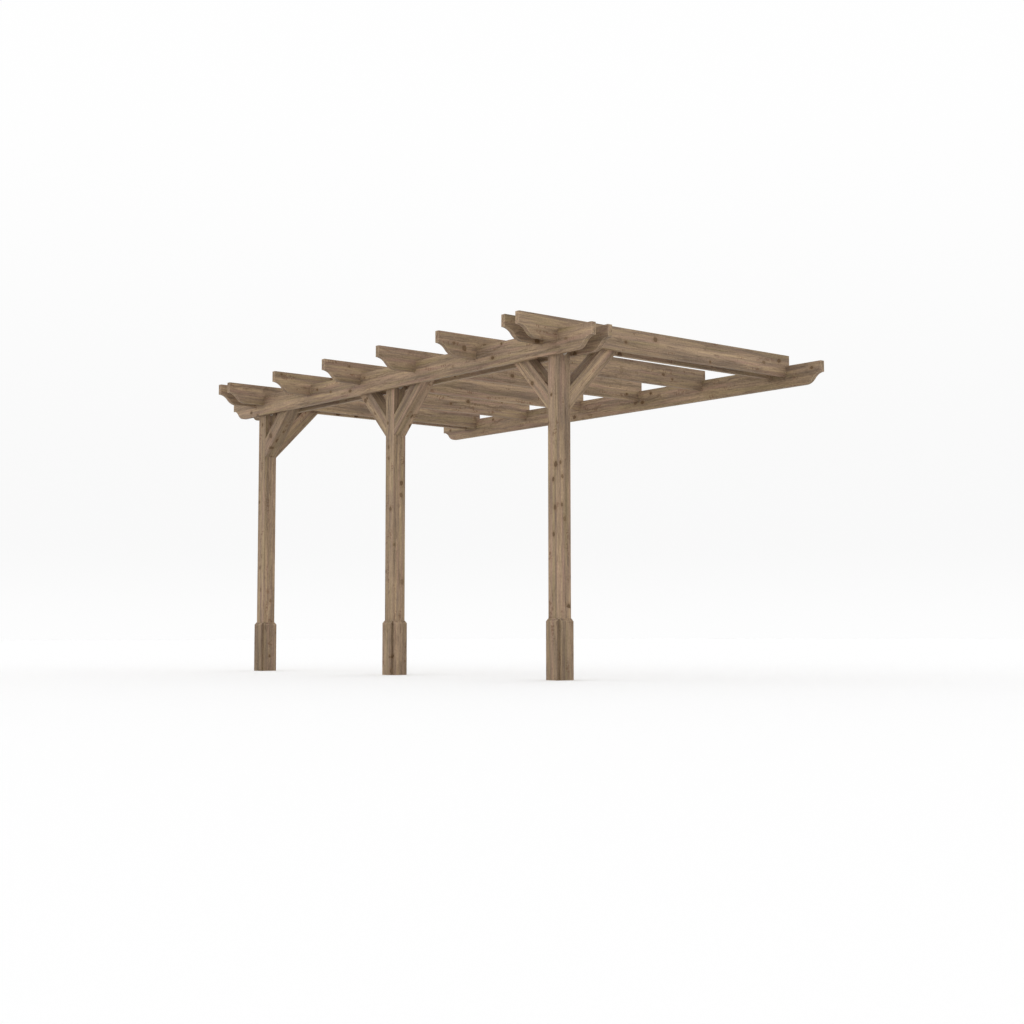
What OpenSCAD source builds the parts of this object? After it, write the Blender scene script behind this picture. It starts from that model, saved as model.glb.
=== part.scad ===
// Timber pergola with one side on three posts and the other side on a wall plate.
// X runs along the wall, Y runs from the front to the wall and Z is up, in millimetres.
// The origin is the middle of the wall plate's back face, the face that bears on the wall.

/* [Layout] */
// Distance between the centres of neighbouring posts
post_spacing = 1704; // [1400:1:2400]
// Distance from the wall to the centre line of the posts
wall_distance = 2022; // [1400:1:3000]
// Height of the underside of the beams above the ground
headroom = 1952; // [1800:1:2400]
// Reach of the shaped ends past the centres of the outer posts
overhang = 384; // [260:1:600]

/* [Posts and base planks] */
// Width of the square posts
post_w = 97; // [75:1:150]
// Thickness of the planks around the foot of a post
plank_t = 19; // [15:1:40]
// Height of the planks
plank_h = 368; // [200:1:600]
// Flat left on top of a plank beside its bevel
plank_land = 2; // [1:0.5:6]

/* [Beams and rafters] */
// Depth of the beams, the wall plate and the rafters
timber_d = 146; // [120:1:200]
// Thickness of the beams, the wall plate and the rafters
timber_t = 34; // [28:1:50]
// Number of rafters between the two pairs that clasp the outer posts
inner_rafters = 4; // [2:1:6]

/* [Shaped ends] */
// Height of the square nose at the tip of a shaped end
nose_h = 75; // [50:1:90]
// Length of the S-curve behind the nose
ogee_run = 146; // [120:1:200]

/* [Halving joints] */
// Distance that the rafters are let down below the top of the beams
rafter_drop = 73; // [30:1:90]
// Part of that distance that is cut out of the beams and the wall plate
beam_notch = 37; // [10:1:50]
// Play of a timber across its notch
notch_play = 1; // [0.5:0.1:3]

/* [Braces] */
// Height of a brace's foot below the underside of the beams
brace_leg = 320; // [240:1:450]
// Depth of a brace, square to its slope
brace_d = 97; // [70:1:120]
// Distance that a brace runs up between the timbers that clasp it
brace_lap = 60; // [20:1:70]

/* [Hidden] */
timber_colour = "#8c7964";
post_colour = "#87735f";
plank_colour = "#837060";

// A cut runs this far past a face, so that it leaves no skin
past = 1;

beam_top = headroom + timber_d;
beam_length = 2 * (post_spacing + overhang);
front_beam_y = -wall_distance - post_w / 2 - timber_t;
back_beam_y = -wall_distance + post_w / 2;
wall_plate_y = -timber_t;

rafter_length = wall_distance + overhang;
rafter_underside = beam_top - rafter_drop;
rafter_notch = rafter_drop - beam_notch;
notch_w = timber_t + notch_play;

// The outer posts stand between two rafters, and the inner rafters share out the space between these pairs
clasp_offset = (post_w + timber_t) / 2;
inner_span = 2 * (post_spacing - clasp_offset);
inner_pitch = inner_span / (inner_rafters + 1);
rafter_x = concat(
    [-post_spacing - clasp_offset],
    [for (i = [0 : inner_rafters + 1]) i * inner_pitch - inner_span / 2],
    [post_spacing + clasp_offset]
);

// Two arcs of one radius make the S-curve: a hollow behind the nose, then a round into the underside
ogee_drop = timber_d - nose_h;
ogee_radius = (pow(ogee_run, 2) + pow(ogee_drop, 2)) / (4 * ogee_drop);
// The arcs are drawn a hair too large, so that they cross each other and the underside instead of touching
arc_overlap = 0.1;
arc_radius = ogee_radius + arc_overlap;

brace_foot = headroom - brace_leg;
brace_cut = brace_d * sqrt(2);

origin_height = headroom + timber_d / 2;

post_names = ["left", "middle", "right"];
post_x = [-post_spacing, 0, post_spacing];

// Faces of a post, a quarter turn apart from +X on
face_names = ["right", "wall", "left", "front"];

// Faces that carry a brace, for each post
brace_faces = [["right", "wall"], ["left", "right"], ["left", "wall"]];

function face_angle(face) = 90 * search([face], face_names)[0];
function post_node(p) = str(post_names[p], "_post");
function plank_node(p, face) = str(post_names[p], "_post_plank_", face);
function brace_node(p, face) = str(post_names[p], "_post_brace_", face);
function rafter_node(r) = str("rafter_", r + 1);

all_posts = [0 : len(post_names) - 1];
all_rafters = [0 : len(rafter_x) - 1];

$fn = 96;

// Puts a piece that is drawn from the ground up into the part's frame
module from_ground() {
    translate([0, 0, -origin_height]) children();
}

// Turns a piece that is drawn on a post's right face to another face of the post p
module on_post_face(p, face) {
    translate([post_x[p], -wall_distance, 0]) rotate([0, 0, face_angle(face)]) {
        translate([post_w / 2, 0, 0]) children();
    }
}

// Waste below the S-curve of a timber whose tip is at x = 0 and whose underside is at y = 0
module ogee_waste() {
    translate([0, ogee_drop - arc_radius]) circle(r = arc_radius);
    difference() {
        translate([-past, -past]) square([past + ogee_run, past + ogee_drop / 2]);
        translate([ogee_run, ogee_radius]) circle(r = arc_radius);
    }
}

// Side outline of a beam, with both ends shaped and a notch in its top for each rafter
module beam_side() {
    difference() {
        translate([-beam_length / 2, 0]) square([beam_length, timber_d]);
        for (end = [0, 1]) {
            mirror([end, 0]) translate([-beam_length / 2, 0]) ogee_waste();
        }
        for (x = rafter_x) {
            translate([x - notch_w / 2, timber_d - beam_notch]) square([notch_w, beam_notch + past]);
        }
    }
}

// Side outline of a rafter from its tip at x = 0 to the wall, with a notch in its underside over each beam
module rafter_side() {
    difference() {
        square([rafter_length, timber_d]);
        ogee_waste();
        for (y = [front_beam_y, back_beam_y]) {
            translate([rafter_length + y - notch_play / 2, -past]) square([notch_w, rafter_notch + past]);
        }
        translate([rafter_length + wall_plate_y - notch_play / 2, -past]) {
            square([notch_w + past, rafter_notch + past]);
        }
    }
}

module post(p) {
    color(post_colour) {
        translate([post_x[p] - post_w / 2, -wall_distance - post_w / 2, 0]) cube([post_w, post_w, beam_top]);
    }
}

module plank(p, face) {
    bevel = plank_t - plank_land;
    outline = [[0, 0], [plank_t, 0], [plank_t, plank_h - bevel], [plank_land, plank_h], [0, plank_h]];
    color(plank_colour) on_post_face(p, face) {
        translate([0, post_w / 2, 0]) rotate([90, 0, 0]) linear_extrude(post_w) polygon(outline);
    }
}

// A brace has a plumb cut against its post and a level cut between the timbers that clasp it
module brace(p, face) {
    clasped_from = face == "wall" ? rafter_underside : headroom;
    top = clasped_from + brace_lap;
    shoulder = brace_foot + brace_cut;
    outline = [[0, brace_foot], [top - brace_foot, top], [top - shoulder, top], [0, shoulder]];
    color(post_colour) on_post_face(p, face) {
        translate([0, post_w / 2, 0]) rotate([90, 0, 0]) linear_extrude(post_w) polygon(outline);
    }
}

module beam(y) {
    color(timber_colour) {
        translate([0, y + timber_t, headroom]) rotate([90, 0, 0]) linear_extrude(timber_t) beam_side();
    }
}

module front_beam() {
    beam(front_beam_y);
}

module back_beam() {
    beam(back_beam_y);
}

module wall_plate() {
    beam(wall_plate_y);
}

module rafter(r) {
    color(timber_colour) translate([rafter_x[r] - timber_t / 2, -rafter_length, rafter_underside]) {
        rotate([90, 0, 90]) linear_extrude(timber_t) rafter_side();
    }
}

for (p = all_posts) {
    from_ground() post(p);
    for (face = face_names) {
        from_ground() plank(p, face);
    }
    for (face = brace_faces[p]) {
        from_ground() brace(p, face);
    }
}
from_ground() front_beam();
from_ground() back_beam();
from_ground() wall_plate();
for (r = all_rafters) {
    from_ground() rafter(r);
}
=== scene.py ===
import math
import random

import bmesh
import bpy
from mathutils import Euler, Matrix, Vector


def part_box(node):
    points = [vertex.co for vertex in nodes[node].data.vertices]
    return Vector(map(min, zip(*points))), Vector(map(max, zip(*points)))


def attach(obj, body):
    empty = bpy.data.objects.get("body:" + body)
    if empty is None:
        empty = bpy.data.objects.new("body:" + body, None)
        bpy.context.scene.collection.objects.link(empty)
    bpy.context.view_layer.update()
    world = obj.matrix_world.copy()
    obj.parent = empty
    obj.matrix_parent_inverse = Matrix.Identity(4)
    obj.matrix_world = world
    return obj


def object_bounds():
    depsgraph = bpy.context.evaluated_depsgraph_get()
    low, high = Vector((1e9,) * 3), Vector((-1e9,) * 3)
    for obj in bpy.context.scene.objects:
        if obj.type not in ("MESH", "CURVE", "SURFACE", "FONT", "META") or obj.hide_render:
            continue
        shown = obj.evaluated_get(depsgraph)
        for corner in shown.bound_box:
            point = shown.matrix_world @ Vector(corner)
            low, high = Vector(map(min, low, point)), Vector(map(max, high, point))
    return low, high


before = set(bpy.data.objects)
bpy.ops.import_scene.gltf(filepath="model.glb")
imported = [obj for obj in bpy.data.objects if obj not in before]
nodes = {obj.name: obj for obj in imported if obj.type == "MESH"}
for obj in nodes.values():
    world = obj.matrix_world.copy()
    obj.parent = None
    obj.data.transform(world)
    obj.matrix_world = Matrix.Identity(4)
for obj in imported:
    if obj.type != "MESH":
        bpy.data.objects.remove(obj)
cad_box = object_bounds()

# The row frame: X along the wall, Y into the wall, Z up, in metres
ALONG_WALL = Vector((1, 0, 0))
INTO_WALL = Vector((0, 1, 0))
UP = Vector((0, 0, 1))
GROUND = cad_box[0].z

# Camera at the photograph's viewing angle, with its sensor and lens in millimetres
EYE_PLACE = Vector((8.8052, -8.2519, -1.7595))
EYE_TURN = math.radians(50.4689)
EYE_TILT = math.radians(4.4840)
EYE_ROLL = math.radians(-0.0427)
SENSOR_WIDTH = 36.0
FOCAL_LENGTH = 55.3889
SIGHT_LIMIT = 500.0

# Floor, with its shade for the camera and its shade for the light that it sends back
FLOOR_HALF = 90.0
FLOOR_SEEN = 0.915
FLOOR_BOUNCE = 0.70

# Backdrop for the camera: dimmest a little above the horizon and white higher up
BACKDROP_FOOT = 0.985
BACKDROP_DIM = 0.950
BACKDROP_TOP = 0.995
DIM_HEIGHT = math.sin(math.radians(3.5))
TOP_HEIGHT = math.sin(math.radians(20))

# Light from the sky, and its rise along X and along Y
SKY_HORIZON = 2.08
SKY_ZENITH = 0.60
SKY_LIFT = (-0.30, 0.18)
WHITE = (1, 1, 1, 1)

# Eased arrises of the timbers
ARRIS_RADIUS = 0.0020
ARRIS_STEPS = 3
WELD_DISTANCE = 0.00001
SHARP_ANGLE = math.radians(30)

# Through bolts of the posts
BOLT_RISE = 0.014
WASHER_RADIUS = 0.0140
WASHER_THICKNESS = 0.0025
WASHER_EASE = 0.0005
HEAD_ACROSS_FLATS = 0.0180
HEAD_HEIGHT = 0.0105
HEAD_EASE = 0.0015
THREAD_RADIUS = 0.0058
THREAD_PROUD = 0.0090
THREAD_EASE = 0.0010
ROUND_SIDES = 32
HEX_SIDES = 6


def srgb(red, green, blue):
    """A colour given as 0 to 255 display values, as linear RGBA."""
    def linear(value):
        share = value / 255
        return share / 12.92 if share <= 0.04045 else ((share + 0.055) / 1.055) ** 2.4
    return (linear(red), linear(green), linear(blue), 1.0)


# Softwood colours
TAN = srgb(174, 149, 116)
MIDDLE = srgb(148, 126, 103)
GREY_BROWN = srgb(116, 99, 86)
LATEWOOD = srgb(108, 87, 67)
PINKISH = srgb(153, 123, 106)
OLIVE = srgb(146, 128, 94)
KNOT_HEART = srgb(100, 76, 50)
KNOT_RIM = srgb(78, 58, 38)
KNOT_HALO = srgb(126, 101, 74)
FLECK = srgb(117, 89, 68)
RESIN = srgb(94, 75, 56)
# Lighter colour on the arrises: partly rubbed wood, partly a painted highlight
WORN_AND_HIGHLIGHT = srgb(196, 174, 147)

# Softwood patterns: scale per metre along the grain and across it, detail and roughness of the noise
PATTERNS = {
    "ring_wave": (9, 14, 2, 0.5),
    "ring_ripple": (30, 120, 2, 0.5),
    "flame": (3.2, 13, 1, 0.5),
    "arch": (5.0, 42, 0, 0.5),
    "band": (0.9, 20, 2, 0.5),
    "sway": (5, 9, 1, 0.5),
    "streak": (2.4, 62, 3, 0.6),
    "narrow": (7, 190, 3, 0.6),
    "fibre": (40, 1500, 2, 0.6),
    "dash": (70, 115, 3, 0.65),
    "hue": (2.4, 36, 2, 0.5),
    "resin": (9, 105, 1, 0.5),
    "curl": (6.5, 24, 1, 0.5),
    "fleck": (85, 45, 2, 0.5),
    "ragged": (90, 90, 2, 0.5),
    "patchy": (14, 60, 3, 0.5),
}

# Patterns that shade the wood: from which value to which, and the shades there
SHADES = {
    "band": (0.30, 0.70, 0.70, 1.25),
    "narrow": (0.30, 0.70, 0.87, 1.13),
    "fibre": (0.2, 0.8, 0.93, 1.07),
    "dash": (0.30, 0.70, 0.84, 1.15),
}
STREAK_SWAY = 1.4
TONE_RANGE = (0.95, 1.05)
PLANK_TONE = 0.90

# Growth rings, and the pith at their middle, which lies inside square timbers and outside boards
RING_PITCH = 0.0078
RING_WAVE = 0.014
RING_RIPPLE = 0.0025
PITH_WANDER = 0.040
PITH_WANDER_SCALE = 0.9
HEART_SPREAD = 0.014
BOARD_FROM_PITH = (0.045, 0.080)
BOARD_SPREAD = 0.030
ALONG_TREE = (4, 60)

# Knots, which are longer along the grain, and their pull on the rings, which is longer still
KNOT_CELL = 0.085
KNOTS_ROUND = 4
KNOT_CHANCE = 0.29
KNOT_RADII = (0.0055, 0.0135)
KNOT_SQUEEZE = 0.70
PULL_SQUEEZE = 0.45
PULL_REACH = 0.034
PULL_DEPTH = 0.020

# Strength of the lighter arrises along the grain and where the grain is cut through: rubbed wood and a
# painted highlight
WEAR_HIGHLIGHT_REACH = 0.006
WEAR_HIGHLIGHT_SAMPLES = 4
SIDE_WEAR_AND_HIGHLIGHT = 0.20
END_WEAR_AND_HIGHLIGHT = 0.85
BRACE_END_WEAR_AND_HIGHLIGHT = 0.15

# Surface of the softwood, with the strength and the depth of its bumps
WOOD_SPECULAR = 0.25
WOOD_BUMP = (0.6, 0.0008)

# Draw of the grain, for all the timbers
WOOD_SEED = 16

# Galvanised steel
ZINC_DARK = srgb(182, 172, 160)
ZINC_LIGHT = srgb(212, 202, 188)
ZINC_STAIN = srgb(132, 120, 106)
SPANGLE_SCALE = 420.0
STAIN_SCALE = 160.0
STEEL_METALLIC = 0.85
STEEL_BUMP = (0.4, 0.0003)


class Graph:
    """Adds nodes to a shader tree. An input is a socket or a plain value."""

    def __init__(self, tree):
        self.tree = tree

    def node(self, kind, inputs=(), **settings):
        """A new node with these settings, and with these inputs by name or by number."""
        made = self.tree.nodes.new(kind)
        for key, value in settings.items():
            setattr(made, key, value)
        for key, value in dict(inputs).items():
            self.feed(made.inputs[key], value)
        return made

    def feed(self, socket, value):
        if isinstance(value, bpy.types.NodeSocket):
            self.tree.links.new(value, socket)
        else:
            socket.default_value = value

    def math(self, operation, *values):
        return self.node("ShaderNodeMath", enumerate(values), operation=operation).outputs[0]

    def product(self, first, *others):
        for other in others:
            first = self.math("MULTIPLY", first, other)
        return first

    def summed(self, start, *terms):
        """A start plus terms, each given as a value and its weight."""
        for value, weight in terms:
            start = self.math("MULTIPLY_ADD", value, weight, start)
        return start

    def swing(self, noise, reach, middle):
        """A value that swings about a middle as a noise from 0 to 1 does."""
        return self.summed(middle, (self.math("SUBTRACT", noise, 0.5), reach))

    def vector_math(self, operation, *values):
        made = self.node("ShaderNodeVectorMath", enumerate(values), operation=operation)
        return made.outputs["Value" if operation in ("LENGTH", "DOT_PRODUCT") else "Vector"]

    def vector(self, x, y, z):
        return self.node("ShaderNodeCombineXYZ", enumerate((x, y, z))).outputs[0]

    def parts(self, vector):
        return tuple(self.node("ShaderNodeSeparateXYZ", {0: vector}).outputs)

    def noise(self, vector, detail, roughness, scale=1.0):
        inputs = {"Vector": vector, "Scale": scale, "Detail": detail, "Roughness": roughness}
        return self.node("ShaderNodeTexNoise", inputs).outputs[0]

    def noise_along(self, length, scale):
        """Three independent values that vary along one length."""
        inputs = {"W": length, "Scale": scale, "Detail": 1.0}
        return self.parts(self.node("ShaderNodeTexNoise", inputs, noise_dimensions="1D").outputs[1])

    def ramp(self, value, start, end, low=0.0, high=1.0, smooth=True):
        """Goes from low to high as a value goes from start to end."""
        inputs = {"Value": value, "From Min": start, "From Max": end, "To Min": low, "To Max": high}
        kind = "SMOOTHSTEP" if smooth else "LINEAR"
        return self.node("ShaderNodeMapRange", inputs, interpolation_type=kind).outputs[0]

    def mix(self, share, first, second, blend="MIX"):
        """Two colours mixed, by the node's sockets for colours."""
        inputs = {0: share, 6: first, 7: second}
        return self.node("ShaderNodeMix", inputs, data_type="RGBA", blend_type=blend).outputs[2]

    def layered(self, colour, *layers):
        """A colour with others laid over it, each given as its share and its colour."""
        for share, over in layers:
            colour = self.mix(share, colour, over)
        return colour

    def bump(self, height, strength, depth):
        inputs = {"Height": height, "Strength": strength, "Distance": depth}
        return self.node("ShaderNodeBump", inputs).outputs[0]

    def output(self, shader, owner="Material"):
        self.node("ShaderNodeOutput" + owner, {"Surface": shader.outputs[0]})


def cleared_graph(owner):
    """The emptied shader tree of a material or a world."""
    owner.use_nodes = True
    owner.node_tree.nodes.clear()
    return Graph(owner.node_tree)


def new_object(name, data):
    made = bpy.data.objects.new(name, data)
    bpy.context.scene.collection.objects.link(made)
    return made


class Softwood(Graph):
    """Nodes of a softwood whose place is u along its grain, and v and w across it from the pith."""

    def __init__(self, tree):
        super().__init__(tree)
        self.given = self.node("NodeGroupInput").outputs

    def pattern(self, name, shift=(0, 0, 0)):
        """A noise that is stretched along the grain."""
        along, across, detail, roughness = PATTERNS[name]
        place = self.vector_math("MULTIPLY_ADD", self.given["Place"], (along, across, across), shift)
        return self.noise(place, detail, roughness)

    def from_pith(self):
        """The place from a pith that wanders, so that flat faces cut the growth rings into arches."""
        u, v, w = self.parts(self.given["Place"])
        slow = self.noise_along(u, PITH_WANDER_SCALE)
        return u, self.swing(slow[0], PITH_WANDER, v), self.swing(slow[1], PITH_WANDER, w)

    def knots(self, u, v, w, radius):
        """Shares of the knots, their rims, their halos and their pull on the rings.

        Knots are branches that run outwards from the pith, so they lie on a map of length and angle.
        The map's seam is turned to a corner of the square timbers.
        """
        angle = self.math("ARCTAN2", self.math("SUBTRACT", w, v), self.math("ADD", w, v))
        turns = self.product(angle, KNOTS_ROUND / math.tau)
        place = self.vector(self.math("DIVIDE", u, KNOT_CELL), turns, 0.0)
        inputs = {"Vector": place, "Scale": 1.0, "Randomness": 1.0}
        cells = self.node("ShaderNodeTexVoronoi", inputs, voronoi_dimensions="2D").outputs
        # A cell's knot fades in below its chance and is full below half of it
        chance = self.parts(cells["Color"])
        present = self.ramp(chance[0], KNOT_CHANCE, 0.5 * KNOT_CHANCE, smooth=False)
        knot_radius = self.ramp(chance[1], 0.0, 1.0, *KNOT_RADII, smooth=False)
        away = self.parts(self.vector_math("SUBTRACT", place, cells["Position"]))
        away_along = self.product(away[0], KNOT_CELL)
        away_round = self.product(away[1], math.tau / KNOTS_ROUND, radius)

        def distance(squeeze):
            squeezed = self.product(away_along, squeeze)
            return self.vector_math("LENGTH", self.vector(squeezed, away_round, 0.0))

        ragged = self.ramp(self.pattern("ragged"), 0.2, 0.8, 0.75, 1.25, smooth=False)
        outwards = self.math("DIVIDE", self.product(distance(KNOT_SQUEEZE), ragged), knot_radius)
        knot = self.product(self.ramp(outwards, 1.20, 0.65), present)
        rim = self.product(knot, self.ramp(outwards, 0.40, 0.80, 0.0, 0.6))
        halo = self.product(self.ramp(outwards, 2.6, 0.9, 0.0, 0.55), present)
        pull = self.product(self.ramp(distance(PULL_SQUEEZE), PULL_REACH, 0.0), present)
        return knot, rim, halo, pull

    def latewood(self, radius, pull):
        """Share of the dark part of each growth ring. The rings bend round the knots."""
        bent = self.swing(self.pattern("ring_wave"), RING_WAVE, radius)
        bent = self.summed(bent, (pull, -PULL_DEPTH))
        bent = self.swing(self.pattern("ring_ripple"), RING_RIPPLE, bent)
        ring = self.math("FRACT", self.math("DIVIDE", bent, RING_PITCH))
        return self.product(self.ramp(ring, 0.30, 0.86), self.ramp(ring, 1.0, 0.90))

    def clear_colour(self, late):
        """Colour between the knots, with streaks, rings, changes of hue, resin and curled flecks."""
        sway = self.swing(self.pattern("sway"), STREAK_SWAY, 0.0)
        streak = self.pattern("streak", self.vector(0.0, sway, sway))
        flame = self.ramp(self.pattern("flame"), 0.52, 0.66, 0.20, 0.62)
        off_arch = self.math("ABSOLUTE", self.math("SUBTRACT", self.pattern("arch"), 0.64))
        hue = self.pattern("hue")
        curl = self.ramp(self.pattern("curl"), 0.60, 0.68)
        return self.layered(
            MIDDLE,
            (self.ramp(streak, 0.44, 0.70, 0.0, 0.66), TAN),
            (self.ramp(streak, 0.54, 0.28, 0.0, 0.66), GREY_BROWN),
            (self.product(late, flame), LATEWOOD),
            (self.ramp(off_arch, 0.045, 0.010, 0.0, 0.30), LATEWOOD),
            (self.ramp(hue, 0.52, 0.70, 0.0, 0.55), PINKISH),
            (self.ramp(hue, 0.48, 0.30, 0.0, 0.55), OLIVE),
            (self.ramp(self.pattern("resin"), 0.64, 0.74, 0.0, 0.5), RESIN),
            (self.product(curl, self.ramp(self.pattern("fleck"), 0.48, 0.60, 0.0, 0.75)), FLECK),
        )

    def wear_and_highlight(self):
        """Share of the lighter arrises, in patches, and most where the grain is cut through: partly rubbed
        wood, partly a painted highlight.
        """
        inputs = {"Radius": WEAR_HIGHLIGHT_REACH}
        rounded = self.node("ShaderNodeBevel", inputs, samples=WEAR_HIGHLIGHT_SAMPLES).outputs[0]
        flat = self.node("ShaderNodeNewGeometry").outputs["Normal"]
        facing = self.vector_math("DOT_PRODUCT", rounded, flat)
        along = [self.vector_math("DOT_PRODUCT", normal, self.given["Grain"]) for normal in (rounded, flat)]
        most_along = self.math("MAXIMUM", *(self.math("ABSOLUTE", value) for value in along))
        cut_through = self.ramp(most_along, 0.05, 0.35, SIDE_WEAR_AND_HIGHLIGHT, self.given["Wear and highlight"])
        patchy = self.ramp(self.pattern("patchy"), 0.35, 0.65, 0.5, 1.0)
        return self.product(self.ramp(facing, 0.995, 0.90), cut_through, patchy)


def softwood_group():
    tree = bpy.data.node_groups.new("stained_softwood", "ShaderNodeTree")
    for name, kind in (("Place", "Vector"), ("Grain", "Vector"), ("Tone", "Float"), ("Wear and highlight", "Float")):
        tree.interface.new_socket(name, in_out="INPUT", socket_type="NodeSocket" + kind)
    for name, kind in (("Colour", "Color"), ("Roughness", "Float"), ("Height", "Float")):
        tree.interface.new_socket(name, in_out="OUTPUT", socket_type="NodeSocket" + kind)
    g = Softwood(tree)
    u, v, w = g.from_pith()
    radius = g.vector_math("LENGTH", g.vector(0.0, v, w))
    knot, rim, halo, pull = g.knots(u, v, w, radius)
    late = g.latewood(radius, pull)

    tones = {name: g.pattern(name) for name in SHADES}
    shades = [g.ramp(tones[name], *bounds, smooth=False) for name, bounds in SHADES.items()]
    shade = g.product(*shades, g.given["Tone"])
    colour = g.mix(1.0, g.clear_colour(late), g.vector(shade, shade, shade), blend="MULTIPLY")
    # The arrises are lightened here: partly rubbed wood, partly a painted highlight
    colour = g.layered(colour, (halo, KNOT_HALO), (knot, KNOT_HEART), (rim, KNOT_RIM), (g.wear_and_highlight(), WORN_AND_HIGHLIGHT))

    # Latewood and knots are smoother and stand proud, and the knots' rims lie deep
    narrow, fibre = tones["narrow"], tones["fibre"]
    rough = g.ramp(narrow, 0.2, 0.8, 0.66, 0.86, smooth=False)
    rough = g.summed(rough, (late, -0.10), (knot, -0.12))
    height = g.summed(0.0, (fibre, 0.35), (late, 0.45), (narrow, 0.6), (rim, -0.9), (knot, 0.5))
    g.node("NodeGroupOutput", {"Colour": colour, "Roughness": rough, "Height": height})
    return tree


def grain_of(name):
    """The direction in which a timber's grain runs."""
    if "_brace_" in name:
        lean = {"right": ALONG_WALL, "left": -ALONG_WALL, "wall": INTO_WALL}[name.rsplit("_", 1)[1]]
        return (lean + UP).normalized()
    if name.startswith("rafter"):
        return INTO_WALL
    if name in ("front_beam", "back_beam", "wall_plate"):
        return ALONG_WALL
    return UP


def thin_way(name, grain):
    """The level direction, square to the grain, in which a timber is thinnest."""
    low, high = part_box(name)
    ways = [way for way in (ALONG_WALL, INTO_WALL) if way.dot(grain) == 0]
    return min(ways, key=lambda way: (high - low).dot(way))


def wood_place(name, dice):
    """The turn and the shift from a timber's points to places along the grain and from the pith."""
    low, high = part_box(name)
    grain = grain_of(name)
    outward = thin_way(name, grain) * dice.choice((-1, 1))
    turn = Matrix((grain, outward, grain.cross(outward)))
    if name.endswith("_post") or "_brace_" in name:
        from_pith = (dice.uniform(-HEART_SPREAD, HEART_SPREAD), dice.uniform(-HEART_SPREAD, HEART_SPREAD))
    else:
        from_pith = (dice.uniform(*BOARD_FROM_PITH), dice.uniform(-BOARD_SPREAD, BOARD_SPREAD))
    middle = Vector((dice.uniform(*ALONG_TREE), *from_pith))
    return turn, middle - turn @ ((low + high) / 2)


def timber_material(name, group):
    dice = random.Random(f"{name} {WOOD_SEED}")
    turn, shift = wood_place(name, dice)
    tone = dice.uniform(*TONE_RANGE) * (PLANK_TONE if "_plank_" in name else 1.0)
    material = bpy.data.materials.new(name + "_timber")
    g = cleared_graph(material)
    point = g.node("ShaderNodeTexCoord").outputs["Object"]
    inputs = {"Vector": point, "Location": shift, "Rotation": turn.to_euler()}
    place = g.node("ShaderNodeMapping", inputs, vector_type="POINT").outputs[0]
    # How strongly the cut ends get the lighter arrises of rubbed wood and painted highlight
    wear_and_highlight = BRACE_END_WEAR_AND_HIGHLIGHT if "_brace_" in name else END_WEAR_AND_HIGHLIGHT
    inputs = {"Place": place, "Grain": grain_of(name), "Tone": tone, "Wear and highlight": wear_and_highlight}
    wood = g.node("ShaderNodeGroup", inputs, node_tree=group).outputs
    g.output(g.node("ShaderNodeBsdfPrincipled", {
        "Base Color": wood["Colour"],
        "Roughness": wood["Roughness"],
        "Specular IOR Level": WOOD_SPECULAR,
        "Normal": g.bump(wood["Height"], *WOOD_BUMP),
    }))
    return material


def ease_arrises(timber):
    weld = timber.modifiers.new("weld", "WELD")
    weld.merge_threshold = WELD_DISTANCE
    bevel = timber.modifiers.new("arris", "BEVEL")
    bevel.width = ARRIS_RADIUS
    bevel.segments = ARRIS_STEPS
    bevel.limit_method = "ANGLE"
    bevel.angle_limit = SHARP_ANGLE
    bevel.harden_normals = True


def dress_timbers():
    group = softwood_group()
    for name, timber in nodes.items():
        timber.data.materials.clear()
        timber.data.materials.append(timber_material(name, group))
        ease_arrises(timber)


def steel_material():
    material = bpy.data.materials.new("galvanised_steel")
    g = cleared_graph(material)
    place = g.node("ShaderNodeTexCoord").outputs["Object"]
    spangles = g.node("ShaderNodeTexVoronoi", {"Vector": place, "Scale": SPANGLE_SCALE}).outputs["Color"]
    stain = g.noise(place, detail=4, roughness=0.6, scale=STAIN_SCALE)
    colour = g.mix(g.parts(spangles)[0], ZINC_DARK, ZINC_LIGHT)
    colour = g.mix(g.ramp(stain, 0.45, 0.68, 0.0, 0.8), colour, ZINC_STAIN)
    g.output(g.node("ShaderNodeBsdfPrincipled", {
        "Base Color": colour,
        "Metallic": STEEL_METALLIC,
        "Roughness": g.ramp(stain, 0.3, 0.7, 0.42, 0.62),
        "Normal": g.bump(stain, *STEEL_BUMP),
    }))
    return material


def ring_at(mesh, radius, height, sides):
    """A closed ring of vertices round Z."""
    step = math.tau / sides
    points = [(radius * math.cos(i * step), radius * math.sin(i * step), height) for i in range(sides)]
    return [mesh.verts.new(point) for point in points]


def stud(mesh, radius, bottom, top, ease, sides):
    """The vertices of a closed solid round Z, round or many-sided, with its top edge eased."""
    profile = ((radius, bottom), (radius, top - ease), (radius - ease, top))
    rings = [ring_at(mesh, *place, sides) for place in profile]
    for lower, upper in zip(rings, rings[1:]):
        for i in range(sides):
            j = (i + 1) % sides
            mesh.faces.new((lower[i], lower[j], upper[j], upper[i]))
    mesh.faces.new(list(reversed(rings[0])))
    mesh.faces.new(rings[-1])
    return sum(rings, [])


def bolt_end(mesh):
    """The vertices of a washer, a hexagon and a stub of thread, standing up from Z = 0."""
    corner = HEAD_ACROSS_FLATS / 2 / math.cos(math.pi / HEX_SIDES)
    head_top = WASHER_THICKNESS + HEAD_HEIGHT
    washer = stud(mesh, WASHER_RADIUS, 0, WASHER_THICKNESS, WASHER_EASE, ROUND_SIDES)
    head = stud(mesh, corner, WASHER_THICKNESS, head_top, HEAD_EASE, HEX_SIDES)
    thread = stud(mesh, THREAD_RADIUS, head_top, head_top + THREAD_PROUD, THREAD_EASE, ROUND_SIDES)
    return washer + head + thread


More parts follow.
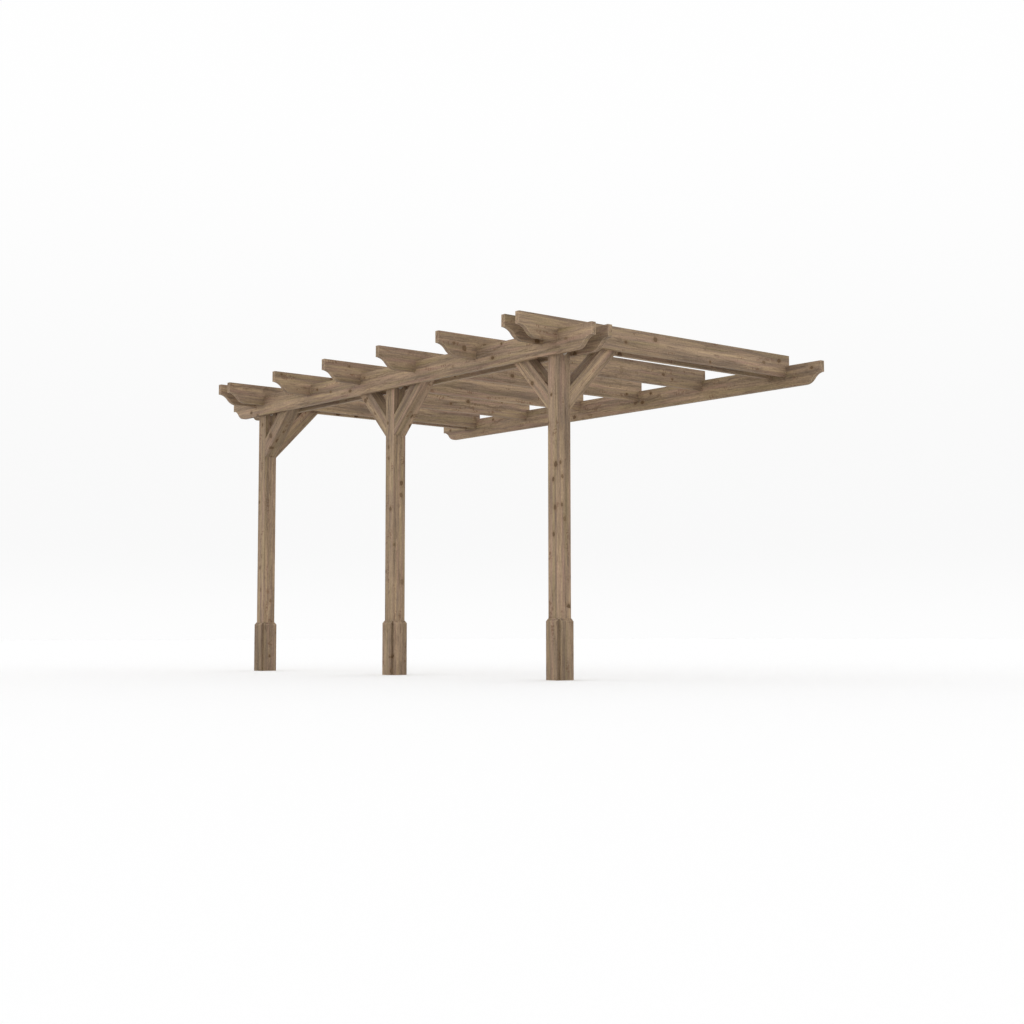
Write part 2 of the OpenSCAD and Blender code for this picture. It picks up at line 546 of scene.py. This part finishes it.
def add_bolts():
    steel = steel_material()
    beam_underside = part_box("front_beam")[0].z
    for post in ("left_post", "middle_post", "right_post"):
        low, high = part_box(post)
        middle = (low + high) / 2
        mesh = bmesh.new()
        for side, face_x in ((1, high.x), (-1, low.x)):
            seat = Vector((face_x, middle.y, beam_underside + BOLT_RISE))
            place = Matrix.Translation(seat) @ Matrix.Rotation(side * math.pi / 2, 4, "Y")
            bmesh.ops.transform(mesh, matrix=place, verts=bolt_end(mesh))
        data = bpy.data.meshes.new(post + "_bolt")
        mesh.to_mesh(data)
        mesh.free()
        data.materials.append(steel)
        bolt = new_object(post + "_bolt", data)
        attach(bolt, "root")


def seen_directly(g):
    """1 for rays from the camera, and for those that mirror or pass on what it sees."""
    path = g.node("ShaderNodeLightPath").outputs
    seen = g.math("MAXIMUM", path["Is Camera Ray"], path["Is Glossy Ray"])
    return g.math("MAXIMUM", seen, path["Is Transmission Ray"])


def floor_material():
    material = bpy.data.materials.new("floor_white")
    g = cleared_graph(material)
    shade = g.ramp(seen_directly(g), 0.0, 1.0, FLOOR_BOUNCE, FLOOR_SEEN, smooth=False)
    g.output(g.node("ShaderNodeBsdfDiffuse", {"Color": g.vector(shade, shade, shade)}))
    return material


def add_floor():
    data = bpy.data.meshes.new("floor")
    corners = [(x * FLOOR_HALF, y * FLOOR_HALF, GROUND) for x, y in ((-1, -1), (1, -1), (1, 1), (-1, 1))]
    data.from_pydata(corners, [], [(0, 1, 2, 3)])
    data.materials.append(floor_material())
    floor = new_object("floor", data)


def light_studio():
    """A soft dome, brighter towards the horizon and towards the left and the back, and the backdrop."""
    world = bpy.data.worlds.new("studio")
    g = cleared_graph(world)
    x, y, z = g.parts(g.node("ShaderNodeTexCoord").outputs["Generated"])
    lift = g.summed(1.0, (y, SKY_LIFT[1]), (x, SKY_LIFT[0]))
    dome = g.product(g.ramp(z, 0.0, 1.0, SKY_HORIZON, SKY_ZENITH, smooth=False), lift)
    foot = g.ramp(z, DIM_HEIGHT, 0.0, 0.0, BACKDROP_FOOT - BACKDROP_DIM)
    backdrop = g.math("ADD", g.ramp(z, DIM_HEIGHT, TOP_HEIGHT, BACKDROP_DIM, BACKDROP_TOP), foot)
    seen = seen_directly(g)
    unseen = g.math("SUBTRACT", 1.0, seen)
    strength = g.math("ADD", g.product(seen, backdrop), g.product(unseen, dome))
    g.output(g.node("ShaderNodeBackground", {"Color": WHITE, "Strength": strength}), "World")
    bpy.context.scene.world = world


def add_camera():
    data = bpy.data.cameras.new("camera")
    data.sensor_width = SENSOR_WIDTH
    data.lens = FOCAL_LENGTH
    data.clip_end = SIGHT_LIMIT
    camera = new_object("camera", data)
    aim = Euler((math.pi / 2 + EYE_TILT, 0, EYE_TURN)).to_matrix() @ Matrix.Rotation(EYE_ROLL, 3, "Z")
    camera.matrix_world = Matrix.Translation(EYE_PLACE) @ aim.to_4x4()
    bpy.context.scene.camera = camera


bpy.context.scene.view_settings.view_transform = "Standard"
add_camera()
light_studio()
add_floor()
dress_timbers()
add_bolts()
